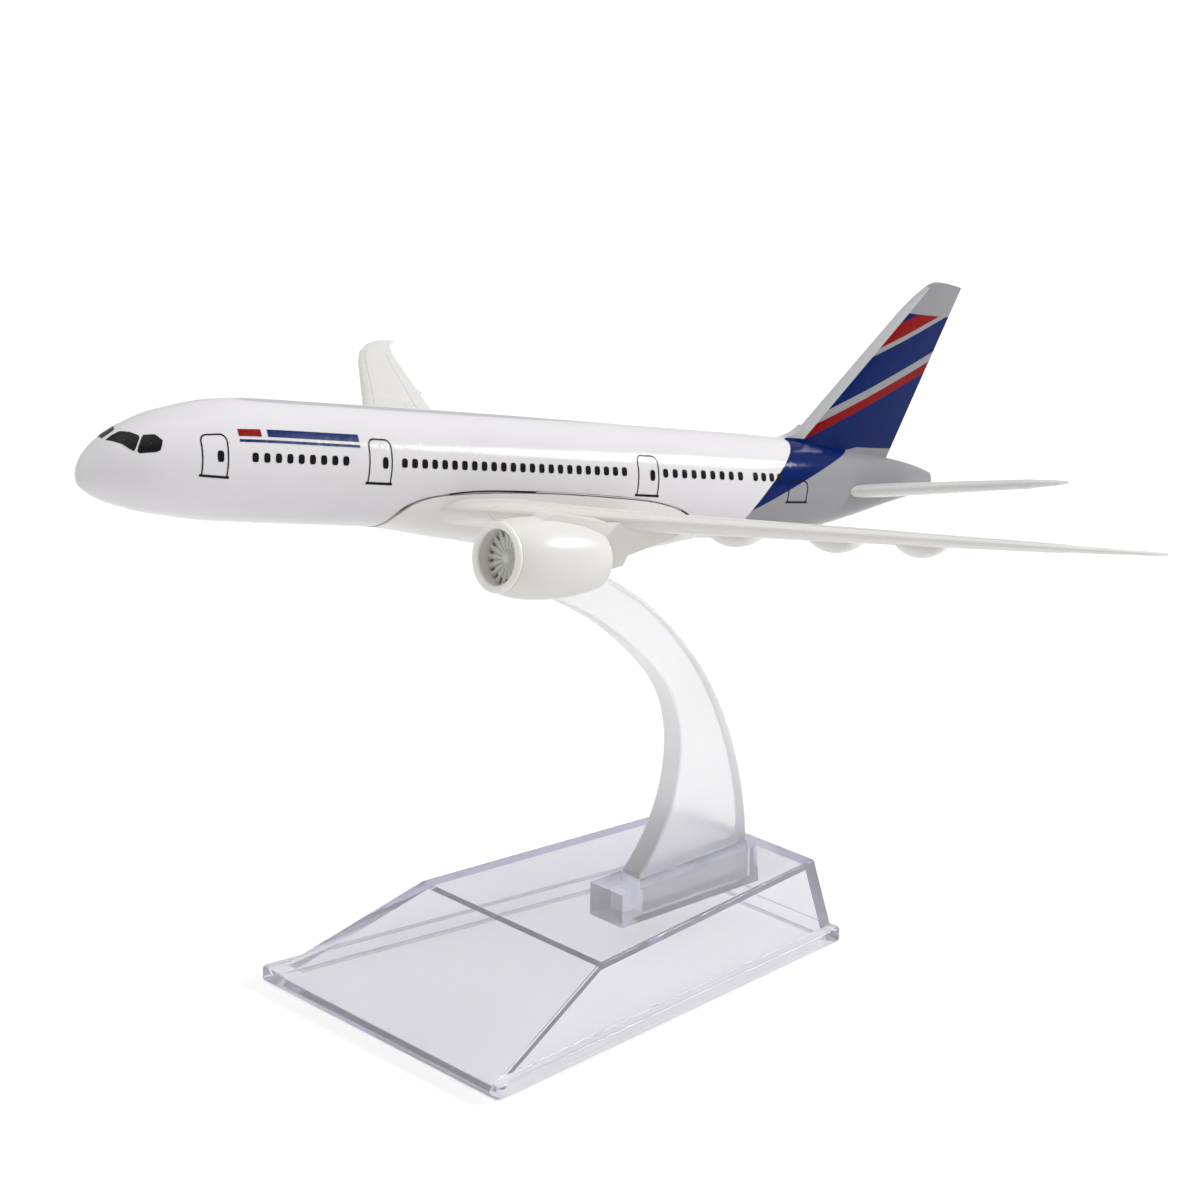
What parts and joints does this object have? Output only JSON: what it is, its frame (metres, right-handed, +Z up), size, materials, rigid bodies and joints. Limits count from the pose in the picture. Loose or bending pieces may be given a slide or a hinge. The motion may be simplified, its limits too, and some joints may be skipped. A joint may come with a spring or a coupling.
{
  "type": "desktop airliner model",
  "caption": "Die-cast twin-engine airliner display model in a plain striped livery, held nose-up by a clear curved arm on a clear ramp-shaped base.",
  "frame": {"origin": "on the table, below the middle of the whole model's box", "axes": "+Z up; nose towards -X; left wing towards -Y; the model is the same on both sides of the XZ plane"},
  "size_m": [0.1638, 0.1624, 0.0974],
  "materials": {
    "clear_base": "polished clear polystyrene",
    "clear_arm": "clear polystyrene, faintly frosted",
    "gloss_livery": "gloss paint with printed markings",
    "off_white_paint": "semi-gloss off-white paint",
    "grey_paint": "semi-gloss light grey paint",
    "fan_grey": "satin grey paint",
    "screw_steel": "zinc-plated steel"
  },
  "bodies": {
    "base": {"base_shell": "clear_base"},
    "arm": {"display_arm": "clear_arm"},
    "aircraft": {"fuselage": "gloss_livery", "wing_cradle": "off_white_paint", "tailplane_left": "grey_paint", "tailplane_right": "grey_paint", "nacelle_left": "off_white_paint", "nacelle_right": "off_white_paint", "inlet_ring_left": "off_white_paint", "inlet_ring_right": "off_white_paint", "fan_left": "fan_grey", "fan_right": "fan_grey", "exhaust_plug_left": "fan_grey", "exhaust_plug_right": "fan_grey", "cradle_screws": "screw_steel"}
  },
  "joints": [
    {"name": "arm_pull", "type": "slide", "parent": "base", "child": "arm", "axis": [0, 0, 1], "range_m": [0, 0.012]},
    {"name": "aircraft_lift", "type": "slide", "parent": "arm", "child": "aircraft", "axis": [0.2113, 0, 0.9774], "range_m": [0, 0.01]}
  ]
}
